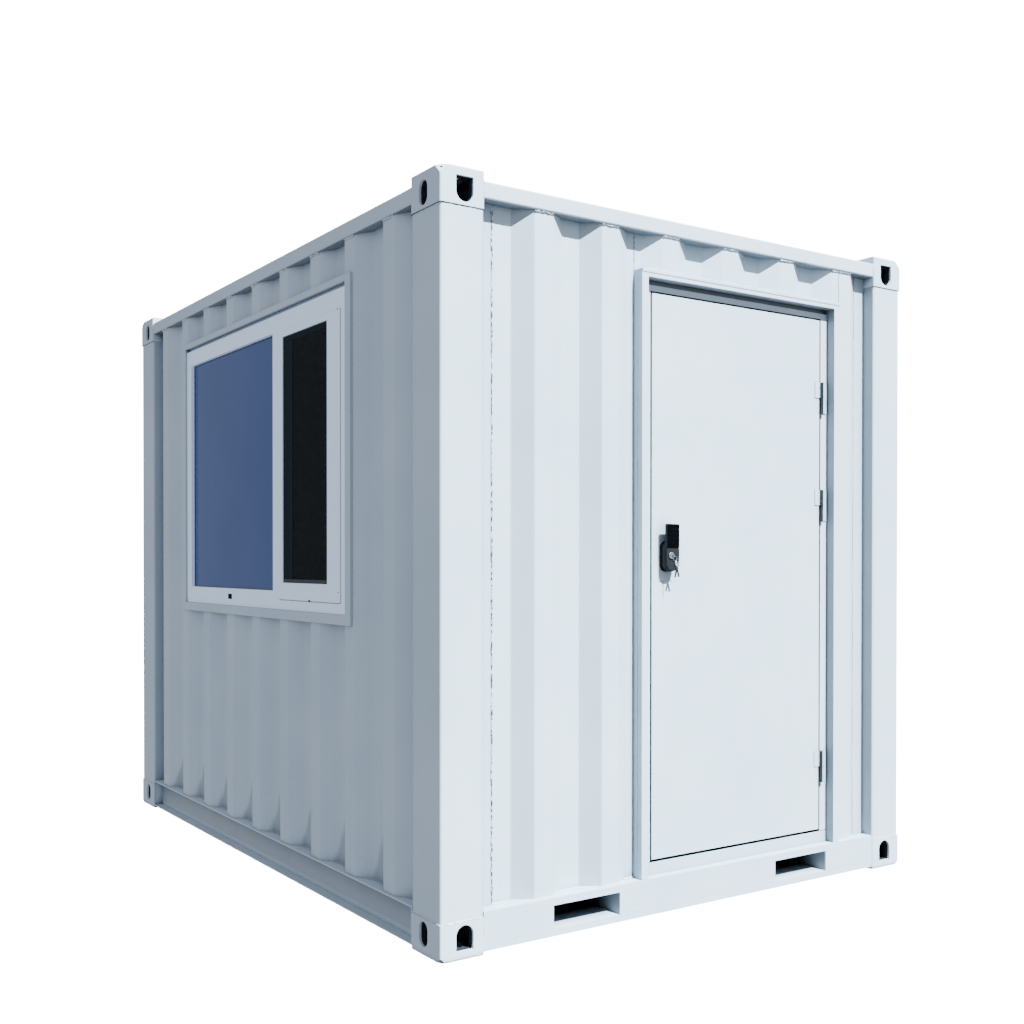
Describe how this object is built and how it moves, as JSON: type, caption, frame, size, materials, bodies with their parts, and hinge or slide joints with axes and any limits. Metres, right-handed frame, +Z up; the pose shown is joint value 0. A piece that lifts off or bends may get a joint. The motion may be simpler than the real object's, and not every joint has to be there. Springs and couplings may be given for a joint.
{
  "type": "office container",
  "caption": "Short white steel site office container with corner castings, corrugated walls, a personnel door with a keypad lock, a sliding side window and fork pockets.",
  "frame": {"origin": "centre of the container's footprint, on the ground", "axes": "+X along the length towards the door end, +Y across towards the plain side wall (the window is in the -Y side), +Z up"},
  "size_m": [2.9, 2.18, 2.438],
  "materials": {
    "white_steel": "satin",
    "lining_panel": "satin",
    "floor_ply": "matte",
    "window_plastic": "satin",
    "tinted_glass": "gloss",
    "screen_mesh": "matte",
    "lock_housing": "matte",
    "keypad_gloss": "gloss",
    "bright_steel": "brushed",
    "hinge_steel": "satin"
  },
  "bodies": {
    "container": {"top_corner_castings": "white_steel", "bottom_corner_castings": "white_steel", "corner_posts": "white_steel", "top_side_rails": "white_steel", "top_end_rails": "white_steel", "bottom_side_rails": "white_steel", "end_sill_rails": "white_steel", "floor_cross_members": "white_steel", "fork_pockets": "white_steel", "floor_deck": "floor_ply", "roof_panel": "white_steel", "ceiling_panel": "lining_panel", "window_wall_front": "white_steel", "window_wall_rear": "white_steel", "window_wall_above": "white_steel", "window_wall_below": "white_steel", "plain_side_wall": "white_steel", "rear_end_wall": "white_steel", "door_wall_left": "white_steel", "door_wall_header": "white_steel", "door_wall_right": "white_steel", "lining_window_side": "lining_panel", "lining_plain_side": "lining_panel", "lining_rear_end": "lining_panel", "lining_door_left": "lining_panel", "lining_door_header": "lining_panel", "lining_door_right": "lining_panel", "window_surround": "white_steel", "window_frame": "window_plastic", "fixed_glass": "tinted_glass", "screen_frame": "window_plastic", "fly_screen": "screen_mesh", "sliding_sash": "window_plastic", "sash_glass": "tinted_glass", "door_outer_frame": "white_steel", "door_jamb_frame": "white_steel", "door_threshold": "white_steel", "frame_hinge_leaves": "hinge_steel"},
    "door": {"door_leaf": "white_steel", "door_hinge_leaves": "hinge_steel", "lock_body": "lock_housing", "lock_keypad": "keypad_gloss", "lock_cylinder": "bright_steel", "lock_keys": "bright_steel", "inner_lock": "lock_housing"}
  },
  "joints": [
    {"name": "door_hinge", "type": "hinge", "parent": "container", "child": "door", "pos_m": [1.418, 0.667, 0], "axis": [0, 0, 1], "range_deg": [0, 120]}
  ]
}
